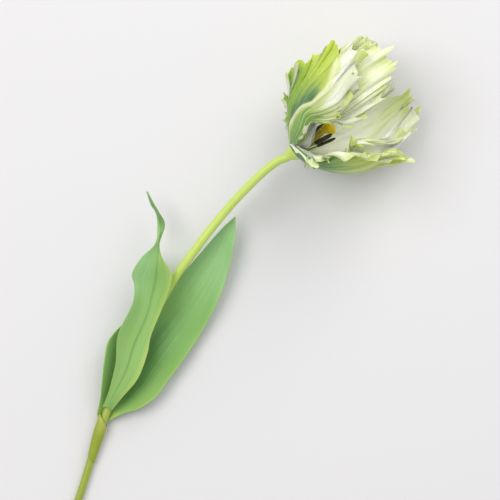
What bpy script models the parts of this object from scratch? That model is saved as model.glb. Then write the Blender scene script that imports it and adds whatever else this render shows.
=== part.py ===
"""A cut parrot tulip, lying on a flat surface.

The stem runs roughly along +Y, from its cut end to the bloom, and the surface it lies on is Z = 0.
Two broad leaves clasp the stem and are held in a sheath. The bloom lies on its belly: three outer
and three inner tepals, ruffled and fringed, stand round six stamens and a pistil.
"""

import math
from collections import namedtuple

import bmesh
import bpy
import numpy as np
from mathutils import Matrix, Vector

MM = 0.001  # every size below is in millimetres, and the scene is in metres
ORIGIN = (-17.6, -51.1, 0.0)  # where the scene's origin is in the layout below

# Driving dimensions
TEPAL_THICKNESS = 0.8
LEAF_THICKNESS = 0.9
FIT_GAP = 0.35  # between pieces that touch
STEM_RADIUS_LOW = 2.8
STEM_RADIUS_HIGH = 3.3
RECEPTACLE_RADIUS = 7.0
RECEPTACLE_FLARE = 7.0  # length over which the stem widens under the bloom
STEM_SIDES = 12

# The stem's route, from the cut end up to the bloom
STEM_ROUTE = (
    (18, -287, 2.8),
    (8, -256, 2.9),
    (-1, -226, 3.6),
    (-9, -201, 4.6),
    (-15, -182, 6.0),
    (-19.5, -164, 7.5),
    (-24, -137, 9.0),
    (-28, -110, 10.5),
    (-32, -84, 13.0),
    (-35, -54, 17.0),
    (-34.7, -21, 23.0),
    (-32.7, 12, 29.0),
    (-29, 39, 35.5),
    (-23.8, 62, 40.5),
    (-15.5, 80, 43.5),
)

# The sheath, by distance along the stem from its cut end
SHEATH_START = 87.0
SHEATH_END = 122.0
SHEATH_SLANT = 3.5
SHEATH_WALL = 1.5
SHEATH_THIN = 0.35  # share of the wall that is left at its lower end
SHEATH_SIDES = 16
SHEATH_RINGS = 9

# Where the bloom sits, and which way it looks
BLOOM_BASE = STEM_ROUTE[-1]
BLOOM_HEADING = 19.0  # degrees from +Y towards +X
BLOOM_PITCH = 1.5  # degrees up

# Each leaf is three rails from its base to its tip: the left edge, the middle and the right edge
Leaf = namedtuple("Leaf", "name left middle right rows columns colour")

LEAF_TWISTED = Leaf(
    name="leaf_twisted",
    left=(
        (-23.6, -166, 9.5), (-27, -152, 15), (-35, -131, 19), (-46, -112, 21), (-50.5, -86, 22),
        (-57, -74, 23), (-64, -67, 25), (-65, -53, 28), (-62.5, -38, 31), (-69, -26, 22),
        (-76, -18, 18), (-83.5, -15, 20), (-91.5, -9, 19),
    ),
    middle=(
        (-21, -163.5, 11.6), (-22, -152, 15.5), (-25, -131, 18.5), (-31, -112, 19), (-36, -88, 20),
        (-42, -72, 21), (-46, -62, 23), (-53, -49, 27), (-61, -36, 27), (-67, -24, 24),
        (-75.5, -17.6, 23), (-82.5, -14, 21), (-91, -8.8, 18.6),
    ),
    right=(
        (-16.4, -163.5, 9.5), (-15.5, -151, 16), (-14, -131, 19), (-19, -111, 20), (-25, -97, 21.5),
        (-30.5, -72, 25), (-37.5, -51, 30), (-51, -44, 29), (-59.5, -37.5, 23), (-64.5, -22, 26),
        (-73.5, -16.5, 27), (-81.5, -13, 23), (-90.2, -8.6, 18.2),
    ),
    rows=34,
    columns=6,
    colour=(0.24, 0.48, 0.12, 1.0),
)

LEAF_BROAD = Leaf(
    name="leaf_broad",
    left=(
        (-23.8, -168, 5.5), (-29.5, -160, 10), (-35, -150, 15), (-43.5, -134, 18), (-49.5, -119, 16.5),
        (-47, -100, 11), (-41, -80, 8), (-36.5, -57, 8.5), (-35, -34, 12), (-33, -14, 16),
        (-29.5, 2, 18), (-24.2, 14.6, 18),
    ),
    middle=(
        (-18.6, -169.5, 2.6), (-18, -160, 2.6), (-18.5, -150, 2.4), (-20, -134, 1.6), (-21.5, -118, 0.6),
        (-21, -100, 0.45), (-19, -80, 0.45), (-18, -57, 2.6), (-18.5, -34, 6.5), (-20.5, -14, 11),
        (-23, 1, 15), (-24, 14.2, 17.6),
    ),
    right=(
        (-14.2, -168, 5.5), (-7.5, -160, 9), (0, -150, 12.5), (5.5, -135, 14), (6, -117, 13),
        (6.5, -98, 12), (6, -76, 12), (3.5, -54, 13), (-0.5, -35, 15), (-7.5, -15, 17),
        (-15, 1, 18), (-23.6, 14.2, 17.6),
    ),
    rows=30,
    columns=8,
    colour=(0.2, 0.42, 0.14, 1.0),
)

# A tepal is a fan of veins on the wall of a cup. Round the bloom's axis, 0 degrees looks up,
# 90 degrees to the left and 180 degrees down to the surface. The claw is the share of the
# half width that is left at the root, and a roll is how far an edge turns outwards, in degrees.
Tepal = namedtuple(
    "Tepal",
    "name facing half_width claw length start_radius start_height start_slope end_slope oval teeth tooth_depth"
    " lobes lobe_depth flutes flute_depth ruffles ruffle_depth left_roll right_roll tip_roll rest phase colour",
)

TEPALS = (
    Tepal(
        name="outer_tepal_upper", facing=50, half_width=49, claw=0.75, length=110,
        start_radius=5.8, start_height=0.8, start_slope=27, end_slope=112, oval=0.78, teeth=18, tooth_depth=0.045,
        lobes=7, lobe_depth=0.12, flutes=2.3, flute_depth=2.0, ruffles=6, ruffle_depth=3.2,
        left_roll=25, right_roll=30, tip_roll=35, rest=0.0, phase=2.4, colour=(0.58, 0.72, 0.25, 1.0),
    ),
    Tepal(
        name="outer_tepal_lower", facing=-88, half_width=61, claw=0.85, length=101,
        start_radius=5.8, start_height=0.8, start_slope=24, end_slope=114, oval=0.78, teeth=18, tooth_depth=0.045,
        lobes=7, lobe_depth=0.11, flutes=3.0, flute_depth=1.4, ruffles=6, ruffle_depth=3.2,
        left_roll=110, right_roll=10, tip_roll=30, rest=0.0, phase=1.9, colour=(0.5, 0.64, 0.2, 1.0),
    ),
    Tepal(
        name="outer_tepal_under", facing=160, half_width=47, claw=0.8, length=110,
        start_radius=5.8, start_height=0.8, start_slope=27, end_slope=114, oval=0.7, teeth=13, tooth_depth=0.045,
        lobes=6, lobe_depth=0.09, flutes=3.0, flute_depth=0.8, ruffles=5, ruffle_depth=2.0,
        left_roll=5, right_roll=5, tip_roll=5, rest=0.0, phase=3.1, colour=(0.55, 0.7, 0.28, 1.0),
    ),
    Tepal(
        name="inner_tepal_upper", facing=30, half_width=46, claw=0.6, length=119,
        start_radius=4.4, start_height=2.0, start_slope=38, end_slope=110, oval=0.72, teeth=15, tooth_depth=0.06,
        lobes=6, lobe_depth=0.1, flutes=4.0, flute_depth=0.9, ruffles=5, ruffle_depth=-2.4,
        left_roll=0, right_roll=0, tip_roll=0, rest=1.6, phase=5.2, colour=(0.9, 0.93, 0.8, 1.0),
    ),
    Tepal(
        name="inner_tepal_lower", facing=-150, half_width=54, claw=0.7, length=114,
        start_radius=4.4, start_height=2.0, start_slope=38, end_slope=108, oval=0.68, teeth=15, tooth_depth=0.06,
        lobes=6, lobe_depth=0.08, flutes=5.0, flute_depth=0.9, ruffles=5, ruffle_depth=-2.2,
        left_roll=0, right_roll=0, tip_roll=0, rest=1.6, phase=0.9, colour=(0.9, 0.93, 0.8, 1.0),
    ),
    Tepal(
        name="inner_tepal_left", facing=118, half_width=42, claw=0.65, length=114,
        start_radius=4.4, start_height=2.0, start_slope=38, end_slope=112, oval=0.68, teeth=12, tooth_depth=0.06,
        lobes=5, lobe_depth=0.09, flutes=4.0, flute_depth=0.9, ruffles=5, ruffle_depth=-1.6,
        left_roll=0, right_roll=0, tip_roll=0, rest=1.6, phase=2.6, colour=(0.9, 0.93, 0.8, 1.0),
    ),
)
CLAW_END = 0.5  # where a tepal reaches its full width, as a share of its length
ROLL_START = 0.8  # where an edge starts to turn, as a share of the half width
TIP_ROLL_START = 0.8  # and the tip, as a share of its vein
TEPAL_ROWS = 13
CUP_STEPS = 240

# Stamens and pistil, as turned profiles: (radius, height)
STAMEN_COUNT = 6
STAMEN_RING = 3.0
STAMEN_TILT = 15.0
STAMEN_SIDES = 8
STAMEN_PROFILE = (
    (0.7, 0.0), (0.65, 8.0), (0.55, 14.0), (1.5, 15.5), (1.75, 20.0), (1.6, 26.0), (1.0, 29.5), (0.0, 30.2),
)
PISTIL_SIDES = 18
PISTIL_LOBES = 3
PISTIL_PROFILE = (  # radius, height, share of the radius that the lobes swing
    (1.9, 0.0, 0.0), (2.6, 6.0, 0.06), (3.2, 14.0, 0.1), (2.9, 21.0, 0.1), (2.4, 25.0, 0.08),
    (3.4, 27.0, 0.2), (5.2, 29.5, 0.3), (5.4, 31.5, 0.3), (4.0, 33.5, 0.3), (1.4, 34.4, 0.2),
)

STEM_COLOUR = (0.55, 0.7, 0.16, 1.0)
SHEATH_COLOUR = (0.38, 0.42, 0.06, 1.0)
STAMEN_COLOUR = (0.05, 0.04, 0.05, 1.0)
PISTIL_COLOUR = (0.75, 0.6, 0.05, 1.0)


def clear_scene():
    for thing in list(bpy.data.objects):
        bpy.data.objects.remove(thing, do_unlink=True)


def make_collection():
    collection = bpy.data.collections.new("parrot_tulip")
    bpy.context.scene.collection.children.link(collection)
    return collection


def make_material(name, colour, roughness=0.5):
    material = bpy.data.materials.new(name)
    material.use_nodes = True
    shader = material.node_tree.nodes["Principled BSDF"]
    shader.inputs["Base Color"].default_value = colour
    shader.inputs["Roughness"].default_value = roughness
    shader.inputs["Metallic"].default_value = 0.0
    return material


def add_object(name, data, collection, material):
    """Links an object that shows this mesh or curve."""
    thing = bpy.data.objects.new(name, data)
    collection.objects.link(thing)
    if material.name not in data.materials:
        data.materials.append(material)
    return thing


def smooth_step(low, high, value):
    share = min(max((value - low) / (high - low), 0.0), 1.0)
    return share * share * (3 - 2 * share)


def route_point(points, share):
    """A point on the smooth Catmull-Rom curve through the points, at a share of their count."""
    last = len(points) - 1
    place = min(max(share, 0.0), 1.0) * last
    i = min(int(place), last - 1)
    f = place - i
    p1, p2 = Vector(points[i]), Vector(points[i + 1])
    p0 = Vector(points[i - 1]) if i > 0 else 2 * p1 - p2
    p3 = Vector(points[i + 2]) if i + 2 <= last else 2 * p2 - p1
    return 0.5 * (
        2 * p1 + (p2 - p0) * f + (2 * p0 - 5 * p1 + 4 * p2 - p3) * f**2 + (3 * p1 - p0 - 3 * p2 + p3) * f**3
    )


def even_route(points, spacing, fine=400):
    """The curve through the points, read at even distances, with the distance of each reading."""
    samples = [route_point(points, i / fine) for i in range(fine + 1)]
    distances = np.cumsum([0.0] + [(b - a).length for a, b in zip(samples, samples[1:])])
    count = round(distances[-1] / spacing)
    wanted = np.linspace(0, distances[-1], count + 1)
    columns = [np.interp(wanted, distances, [p[axis] for p in samples]) for axis in range(3)]
    return [Vector(p) for p in zip(*columns)], wanted


def stem_radius(distance, total):
    """The stem thickens a little upwards, then flares into the receptacle under the bloom."""
    plain = STEM_RADIUS_LOW + (STEM_RADIUS_HIGH - STEM_RADIUS_LOW) * smooth_step(0, 0.6 * total, distance)
    flare = smooth_step(total - RECEPTACLE_FLARE, total, distance) ** 1.5
    return plain + (RECEPTACLE_RADIUS - plain) * flare


def build_stem(collection, material):
    """A round tube with flat ends along the stem's route."""
    body, distances = even_route(STEM_ROUTE, 8.0)
    total = distances[-1]
    axis = bloom_axes()[2]
    flare_steps = 6
    kept = [(p, d) for p, d in zip(body, distances) if d < total - RECEPTACLE_FLARE - 4.0]
    flare = [
        (Vector(BLOOM_BASE) - axis * (RECEPTACLE_FLARE * (1 - i / flare_steps)), total - RECEPTACLE_FLARE * (1 - i / flare_steps))
        for i in range(flare_steps + 1)
    ]
    stations = kept + flare
    curve = bpy.data.curves.new("stem", "CURVE")
    curve.dimensions = "3D"
    curve.bevel_depth = MM
    curve.bevel_resolution = STEM_SIDES // 2 - 2
    curve.use_fill_caps = True
    spline = curve.splines.new("POLY")
    spline.points.add(len(stations) - 1)
    for point, (place, distance) in zip(spline.points, stations):
        point.co = (*((place - Vector(ORIGIN)) * MM), 1.0)
        point.radius = stem_radius(distance, total)
    return add_object("stem", curve, collection, material)


def frame_along(route, i):
    """A direction to the side and one upwards, square to the route at reading i."""
    ahead = (route[min(i + 1, len(route) - 1)] - route[max(i - 1, 0)]).normalized()
    side = ahead.cross(Vector((0, 0, 1))).normalized()
    return side, side.cross(ahead).normalized()


def grid_mesh(name, points, closed=False):
    """A sheet of triangles through rows of points, split the same way everywhere. A closed one joins its sides."""
    mesh = bmesh.new()
    rows = [[mesh.verts.new((Vector(p) - Vector(ORIGIN)) * MM) for p in row] for row in points]
    columns = len(rows[0])
    for low, high in zip(rows, rows[1:]):
        for j in range(columns if closed else columns - 1):
            k = (j + 1) % columns
            mesh.faces.new((low[j], low[k], high[k]))
            mesh.faces.new((low[j], high[k], high[j]))
    data = bpy.data.meshes.new(name)
    mesh.to_mesh(data)
    mesh.free()
    data.shade_smooth()
    return data


def thicken(thing, thickness, offset=0.0):
    solid = thing.modifiers.new("Thickness", "SOLIDIFY")
    solid.thickness = thickness * MM
    solid.offset = offset
    return solid


def build_sheath(collection, material):
    """A sleeve round the stem below the leaves, with a slanted mouth, thinning towards its lower end."""
    route, distances = even_route(STEM_ROUTE, 1.0)
    total = distances[-1]
    rows, weights = [], []
    for ring in range(SHEATH_RINGS):
        share = ring / (SHEATH_RINGS - 1)
        row = []
        for k in range(SHEATH_SIDES):
            angle = -2 * math.pi * k / SHEATH_SIDES
            slant = SHEATH_SLANT * math.sin(angle) * smooth_step(0.3, 1.0, share)
            distance = SHEATH_START + (SHEATH_END - SHEATH_START) * share + slant
            i = min(range(len(route)), key=lambda n: abs(distances[n] - distance))
            side, up = frame_along(route, i)
            centre = Vector([np.interp(distance, distances, [p[a] for p in route]) for a in range(3)])
            radius = stem_radius(distance, total) / math.cos(math.pi / STEM_SIDES) + FIT_GAP
            row.append(centre + (side * math.cos(angle) + up * math.sin(angle)) * radius)
            weights.append(SHEATH_THIN + (1 - SHEATH_THIN) * smooth_step(0.0, 0.75, share))
        rows.append(row)
    thing = add_object("sheath", grid_mesh("sheath", rows, closed=True), collection, material)
    group = thing.vertex_groups.new(name="wall")
    for i, weight in enumerate(weights):
        group.add([i], weight, "REPLACE")
    solid = thicken(thing, SHEATH_WALL, offset=1.0)
    solid.vertex_group = "wall"
    return thing


def leaf_point(leaf, along, across):
    """A point of a leaf's middle surface: along runs from 0 at its base to 1, across from -1 left to 1 right."""
    left, middle, right = (route_point(rail, along) for rail in (leaf.left, leaf.middle, leaf.right))
    bow = middle - (left + right) / 2
    place = (left + right) / 2 + (right - left) / 2 * across + bow * (1 - across * across)
    return rest_on_surface(place, LEAF_THICKNESS)


def build_leaf(leaf, collection):
    material = make_material(leaf.name, leaf.colour, 0.45)
    rows = [
        [leaf_point(leaf, i / leaf.rows, 2 * j / leaf.columns - 1) for j in range(leaf.columns + 1)]
        for i in range(leaf.rows + 1)
    ]
    thing = add_object(leaf.name, grid_mesh(leaf.name, rows), collection, material)
    thicken(thing, LEAF_THICKNESS)
    return thing


def bloom_axes():
    """The bloom's left, its upward side and its axis from the receptacle to the mouth."""
    heading, pitch = math.radians(BLOOM_HEADING), math.radians(BLOOM_PITCH)
    axis = Vector((math.sin(heading) * math.cos(pitch), math.cos(heading) * math.cos(pitch), math.sin(pitch)))
    left = Vector((-math.cos(heading), math.sin(heading), 0.0))
    return left, axis.cross(left), axis


def cup_curve(tepal):
    """Distances up the wall of the cup, with the radius, height and slope there."""
    share = np.linspace(0, 1, CUP_STEPS)
    slope = np.radians(tepal.start_slope + (tepal.end_slope - tepal.start_slope) * share)
    step = tepal.length / (CUP_STEPS - 1)
    radius = tepal.start_radius + np.concatenate(([0.0], np.cumsum(np.cos(slope[:-1]) * step)))
    height = tepal.start_height + np.concatenate(([0.0], np.cumsum(np.sin(slope[:-1]) * step)))
    return share * tepal.length, radius, height, slope


def vein_length(tepal, across):
    """How far the vein at this place across the tepal runs, with the lobes and teeth of the margin."""
    turn = (across + 1) / 2
    oval = 1 - tepal.oval * abs(across) ** 2.2
    lobe = tepal.lobe_depth * (0.5 - 0.5 * math.cos(2 * math.pi * tepal.lobes * turn + tepal.phase))
    saw = abs(2 * ((turn * tepal.teeth) % 1.0) - 1)
    tooth = tepal.tooth_depth * (0.7 + 0.3 * math.sin(7 * across + tepal.phase)) * saw
    return tepal.length * (oval - lobe - tooth)


def lift(tepal, up_vein, across):
    """How far the tepal stands out from the cup through its flutes and the ruffles of its margin."""
    turn = (across + 1) / 2
    flute = math.cos(math.pi * tepal.flutes * across + tepal.phase) * smooth_step(0.15, 0.7, up_vein)
    ruffle = (0.8 + math.sin(2 * math.pi * tepal.ruffles * turn + tepal.phase)) * up_vein**4
    return tepal.flute_depth * flute + tepal.ruffle_depth * ruffle * (0.45 + 0.55 * abs(across))


def rolled(distance, start, end, degrees):
    """Bends what lies past start outwards, by this many degrees at end: (distance kept, lift gained)."""
    beyond = distance - start
    if beyond <= 0 or degrees <= 0:
        return distance, 0.0
    radius = (end - start) / math.radians(degrees)
    turned = beyond / radius
    return start + radius * math.sin(turned), radius * (1 - math.cos(turned))


def rest_on_surface(point, thickness):
    """What would sink below the surface is flattened on it."""
    return Vector((point.x, point.y, max(point.z, thickness / 2)))


def tepal_point(tepal, cup, up_vein, across):
    """A point of a tepal's middle surface: up_vein runs from 0 at the root to 1 at the margin.

    The veins crowd towards the sides, which spreads their ends evenly along the margin.
    """
    distances, radii, heights, slopes = cup
    reach = vein_length(tepal, across)
    distance, out = rolled(reach * up_vein, reach * TIP_ROLL_START, reach, tepal.tip_roll)
    radius = np.interp(distance, distances, radii)
    height = np.interp(distance, distances, heights)
    slope = np.interp(distance, distances, slopes)
    side_roll = tepal.left_roll if across > 0 else tepal.right_roll
    side_roll *= smooth_step(0.03, 0.4, distance / tepal.length)
    spread = tepal.claw + (1 - tepal.claw) * smooth_step(0.0, CLAW_END, distance / tepal.length)
    width = math.radians(tepal.half_width) * spread * radius
    share = math.sin(math.pi / 2 * abs(across))
    sideways, side_lift = rolled(share * width, ROLL_START * width, width, side_roll)
    out += side_lift + lift(tepal, up_vein, across)
    angle = math.radians(tepal.facing) + math.copysign(sideways / radius, across)
    left, up, axis = bloom_axes()
    outward = up * math.cos(angle) + left * math.sin(angle)
    place = Vector(BLOOM_BASE) + outward * (radius + out * math.sin(slope)) + axis * (height - out * math.cos(slope))
    return rest_on_surface(place, TEPAL_THICKNESS + 2 * tepal.rest)


def build_tepal(tepal, collection):
    material = make_material(tepal.name, tepal.colour, 0.5)
    cup = cup_curve(tepal)
    columns = 2 * tepal.teeth
    rows = [
        [tepal_point(tepal, cup, i / TEPAL_ROWS, 2 * j / columns - 1) for j in range(columns + 1)]
        for i in range(TEPAL_ROWS + 1)
    ]
    thing = add_object(tepal.name, grid_mesh(tepal.name, rows), collection, material)
    thicken(thing, TEPAL_THICKNESS)
    return thing


def bloom_matrix(tilt=0.0, turn=0.0, ring=0.0):
    """Places a piece on the receptacle, off the axis by ring and leaning out by tilt, at turn round the axis."""
    left, up, axis = bloom_axes()
    turned = Matrix.Rotation(math.radians(turn), 4, "Z") @ Matrix.Translation((ring * MM, 0, 0))
    turned = turned @ Matrix.Rotation(math.radians(tilt), 4, "Y")
    basis = Matrix((up, -left, axis)).transposed().to_4x4()
    seat = Vector(BLOOM_BASE) - Vector(ORIGIN) + axis * FIT_GAP
    return Matrix.Translation(seat * MM) @ basis @ turned


def build_stamens(collection, material):
    """Six like stamens in a ring, each a filament with its long anther."""
    profile = bpy.data.meshes.new("stamen")
    points = [(0.0, 0.0, 0.0)] + [(radius * MM, 0.0, height * MM) for radius, height in STAMEN_PROFILE]
    points.reverse()
    profile.from_pydata(points, [(i, i + 1) for i in range(len(points) - 1)], [])
    for k in range(STAMEN_COUNT):
        thing = add_object(f"stamen_{k + 1}", profile, collection, material)
        screw = thing.modifiers.new("Turn", "SCREW")
        screw.steps = screw.render_steps = STAMEN_SIDES
        screw.use_merge_vertices = True
        screw.merge_threshold = 0.00001
        thing.matrix_world = bloom_matrix(STAMEN_TILT, (k + 0.5) * 360 / STAMEN_COUNT, STAMEN_RING)


def build_pistil(collection, material):
    """The ovary with its three-lobed stigma, lofted through lobed rings."""
    mesh = bmesh.new()
    rings = []
    for radius, height, swing in PISTIL_PROFILE:
        ring = []
        for k in range(PISTIL_SIDES):
            angle = 2 * math.pi * k / PISTIL_SIDES
            reach = radius * (1 + swing * math.cos(PISTIL_LOBES * angle)) * MM
            ring.append(mesh.verts.new((reach * math.cos(angle), reach * math.sin(angle), height * MM)))
        rings.append(ring)
    for low, high in zip(rings, rings[1:]):
        for k in range(PISTIL_SIDES):
            n = (k + 1) % PISTIL_SIDES
            mesh.faces.new((low[k], low[n], high[n], high[k]))
    mesh.faces.new(reversed(rings[0]))
    mesh.faces.new(rings[-1])
    data = bpy.data.meshes.new("pistil")
    mesh.to_mesh(data)
    mesh.free()
    data.shade_smooth()
    thing = add_object("pistil", data, collection, material)
    thing.matrix_world = bloom_matrix()


def main():
    clear_scene()
    collection = make_collection()
    build_stem(collection, make_material("stem", STEM_COLOUR, 0.45))
    build_sheath(collection, make_material("sheath", SHEATH_COLOUR, 0.5))
    for leaf in (LEAF_TWISTED, LEAF_BROAD):
        build_leaf(leaf, collection)
    for tepal in TEPALS:
        build_tepal(tepal, collection)
    build_stamens(collection, make_material("stamen", STAMEN_COLOUR, 0.6))
    build_pistil(collection, make_material("pistil", PISTIL_COLOUR, 0.5))


main()
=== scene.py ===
"""Dresses a cut parrot tulip, lying on a pale surface, with its fine surfaces and finishes."""

import math
from collections import namedtuple

import bpy
import numpy as np
from mathutils import Matrix, Vector


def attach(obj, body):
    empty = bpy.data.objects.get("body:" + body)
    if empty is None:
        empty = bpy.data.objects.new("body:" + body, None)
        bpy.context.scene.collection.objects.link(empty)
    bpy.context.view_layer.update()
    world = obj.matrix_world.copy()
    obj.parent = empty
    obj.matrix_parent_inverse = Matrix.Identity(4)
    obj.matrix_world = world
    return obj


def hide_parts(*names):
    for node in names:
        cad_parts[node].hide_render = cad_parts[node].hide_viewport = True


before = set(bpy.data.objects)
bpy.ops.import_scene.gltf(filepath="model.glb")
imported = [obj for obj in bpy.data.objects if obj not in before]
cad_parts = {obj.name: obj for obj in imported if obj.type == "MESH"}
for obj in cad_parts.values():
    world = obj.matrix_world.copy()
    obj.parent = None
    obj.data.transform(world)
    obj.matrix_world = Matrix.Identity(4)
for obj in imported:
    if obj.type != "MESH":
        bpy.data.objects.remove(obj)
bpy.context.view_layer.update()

bl_info = {
    "name": "Parrot tulip",
    "version": (1, 0, 0),
    "blender": (4, 5, 0),
    "location": "3D view > Sidebar > Tulip",
    "description": "Makes a cut parrot tulip with its ruffled tepals, leaves, stem, stamens and pistil",
    "category": "Add Mesh",
}

MM = 0.001  # lengths are in millimetres where nothing else is said, and the scene is in metres
ORIGIN = np.array((-17.6, -51.1, 0.0))  # where the scene's origin is in the layout below

STEM_ROUTE = (
    (18, -287, 2.8), (8, -256, 2.9), (-1, -226, 3.6), (-9, -201, 4.6), (-15, -182, 6.0),
    (-19.5, -164, 7.5), (-24, -137, 9.0), (-28, -110, 10.5), (-32, -84, 13.0), (-35, -54, 17.0),
    (-34.7, -21, 23.0), (-32.7, 12, 29.0), (-29, 39, 35.5), (-23.8, 62, 40.5), (-15.5, 80, 43.5),
)
BLOOM_BASE = STEM_ROUTE[-1]
BLOOM_HEADING = 19.0  # degrees from the layout's y axis towards its x axis
BLOOM_PITCH = 1.5  # degrees up
FIT_GAP = 0.35  # how far the stamens and the pistil stand off the receptacle

Leaf = namedtuple("Leaf", "name left middle right")
LEAF_TWISTED = Leaf(
    name="leaf_twisted",
    left=(
        (-23.6, -166, 9.5), (-27, -152, 15), (-35, -131, 19), (-46, -112, 21), (-50.5, -86, 22),
        (-57, -74, 23), (-64, -67, 25), (-65, -53, 28), (-62.5, -38, 31), (-69, -26, 22),
        (-76, -18, 18), (-83.5, -15, 20), (-91.5, -9, 19),
    ),
    middle=(
        (-21, -163.5, 11.6), (-22, -152, 15.5), (-25, -131, 18.5), (-31, -112, 19), (-36, -88, 20),
        (-42, -72, 21), (-46, -62, 23), (-53, -49, 27), (-61, -36, 27), (-67, -24, 24),
        (-75.5, -17.6, 23), (-82.5, -14, 21), (-91, -8.8, 18.6),
    ),
    right=(
        (-16.4, -163.5, 9.5), (-15.5, -151, 16), (-14, -131, 19), (-19, -111, 20), (-25, -97, 21.5),
        (-30.5, -72, 25), (-37.5, -51, 30), (-51, -44, 29), (-59.5, -37.5, 23), (-64.5, -22, 26),
        (-73.5, -16.5, 27), (-81.5, -13, 23), (-90.2, -8.6, 18.2),
    ),
)
LEAF_BROAD = Leaf(
    name="leaf_broad",
    left=(
        (-24.2, -173, 5.8), (-29.5, -160, 10), (-35, -150, 15), (-43.5, -134, 18), (-49.5, -119, 16.5),
        (-47, -100, 11), (-41, -80, 8), (-34.5, -57, 8.5), (-31, -34, 12), (-29, -14, 16),
        (-27, 2, 18), (-24.2, 14.6, 18),
    ),
    middle=(
        (-19.6, -175.5, 3.4), (-18, -160, 2.6), (-18.5, -150, 2.4), (-20, -134, 1.6), (-21.5, -118, 0.6),
        (-21, -100, 0.45), (-19, -80, 0.45), (-18, -57, 2.6), (-18.5, -34, 6.5), (-20.5, -14, 11),
        (-23, 1, 15), (-24, 14.2, 17.6),
    ),
    right=(
        (-15.4, -174, 5.8), (-7.5, -160, 9), (0, -150, 12.5), (5.5, -135, 14), (6, -117, 13),
        (6.5, -98, 12), (6, -76, 12), (3.5, -54, 13), (-0.5, -35, 15), (-7.5, -15, 17),
        (-15, 1, 18), (-23.6, 14.2, 17.6),
    ),
)

# A tepal is a fan of veins on the wall of a cup. Round the bloom's axis, 0 degrees looks up,
# 90 degrees to the left and 180 degrees down to the surface.
Tepal = namedtuple(
    "Tepal",
    "name facing half_width claw length start_radius start_height start_slope end_slope oval tooth_depth"
    " lobes lobe_depth flutes flute_depth ruffles ruffle_depth left_roll right_roll tip_roll rest phase",
)
TEPALS = (
    Tepal("outer_tepal_upper", 50, 49, 0.75, 104, 5.8, 0.8, 27, 112, 0.78, 0.05,
          7, 0.1, 2.3, 2.0, 6, 3.2, 24, 30, 35, 0.0, 2.1),
    Tepal("outer_tepal_lower", -88, 61, 0.85, 86, 5.8, 0.8, 17, 112, 0.74, 0.06,
          7, 0.13, 3.0, 1.4, 6, 3.2, 110, 10, 55, 0.0, 1.9),
    Tepal("outer_tepal_under", 160, 47, 0.8, 110, 5.8, 0.8, 27, 114, 0.7, 0.045,
          6, 0.09, 3.0, 0.8, 5, 2.0, 5, 5, 5, 0.0, 3.1),
    Tepal("inner_tepal_upper", 30, 46, 0.6, 119, 4.4, 2.0, 38, 110, 0.72, 0.075,
          6, 0.1, 4.0, 0.9, 5, -2.4, 0, 0, 0, 1.6, 5.2),
    Tepal("inner_tepal_lower", -150, 54, 0.7, 114, 4.4, 2.0, 38, 108, 0.68, 0.08,
          6, 0.08, 5.0, 0.9, 5, -2.2, 0, 0, 0, 1.6, 0.9),
    Tepal("inner_tepal_left", 118, 42, 0.65, 114, 4.4, 2.0, 38, 112, 0.68, 0.06,
          5, 0.09, 4.0, 0.9, 5, -1.6, 0, 0, 0, 1.6, 2.6),
)
# Where a side margin is drawn aside: side (1 left, -1 right), place along the tepal, reach of the change
# along it, and degrees to the left.
MARGIN_SHIFTS = {
    "outer_tepal_upper": ((-1, 0.34, 0.09, 11), (-1, 0.6, 0.1, -5), (1, 0.23, 0.16, 12), (1, 0.55, 0.25, -13),
                          (1, 0.85, 0.2, -6)),
    "outer_tepal_under": ((-1, 0.3, 0.3, 18), (1, 0.2, 0.15, -12)),
    "inner_tepal_upper": ((-1, 0.31, 0.1, 24), (-1, 0.12, 0.05, -12)),
    "outer_tepal_lower": ((1, 0.14, 0.11, 36), (1, 0.45, 0.12, 8)),
    "inner_tepal_lower": ((1, 0.47, 0.2, 62),),
}
# A margin turned into flaps: side, place along the tepal, reach along it, flaps in the tepal's length,
# depth, and degrees of roll.
FLAPS = {
    "outer_tepal_lower": (1, 0.42, 0.4, 5.2, 11.0, 165.0),
    "inner_tepal_lower": (1, 0.5, 0.3, 6.5, 7.0, 100.0),
    "inner_tepal_upper": (-1, 0.55, 0.3, 7.0, 4.5, 80.0),
}
SIDE_TRIM = {"outer_tepal_upper": (1, 0.2)}  # a side that is shorter: side, and by what share
TRIM_END = 0.6  # where across it the trim is full
OVAL_POWER = 2.2  # the higher, the squarer a tepal's outline
SCALLOP_POWER = 0.75  # the higher, the wider the gaps between scallops
CUP_STEPS = 240
MARGIN_STEPS = 801
CLAW_END = 0.5  # where a tepal reaches its full width, as a share of its length
ROLL_START = 0.8  # where an edge starts to turn, as a share of the half width
TIP_ROLL_START = 0.72  # and the tip, as a share of its vein
RIDGE_ALONG = (0.0, 0.16, 0.45, 0.59, 0.75, 0.9, 1.0)  # the upper outer tepal's raised rib, along its length
RIDGE_ACROSS = (0.2, 0.157, -0.28, -0.24, -0.065, 0.2, 0.3)  # and across it
RIB_HEIGHT = 1.6
RIB_WIDTH = 0.05
VALLEY_DEPTH = 1.3
VALLEY_WIDTH = 0.13
VALLEY_OFFSET = 0.22  # how far across from the rib the valley beside it runs
OUTER_CLEARANCE = 1.3  # how far an outer tepal stands off the inner ones
SIDE_CLEARANCE = 0.8  # and how much further its side margins do
TOOTH_SPACING = 5.4
TOOTH_SWAY = 11.0  # a sway is the length of margin in a radian of the slow wave of teeth, fringe or frills
FRINGE_SPACING = 2.9
FRINGE_SWAY = 6.1
FRILL_SPACING = 12.0
FRILL_SWAY = 13.0
FRILL_DRIFT = 17.0  # the same for the wave in the frills' spacing
UNDER_FRILL = 0.45  # frills of the tepal that lies underneath, as a share of the others'
PLEAT_SPACING = 9.0
INNER_PLEATS = 3.2  # how many times deeper the inner tepals' pleats are

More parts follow.
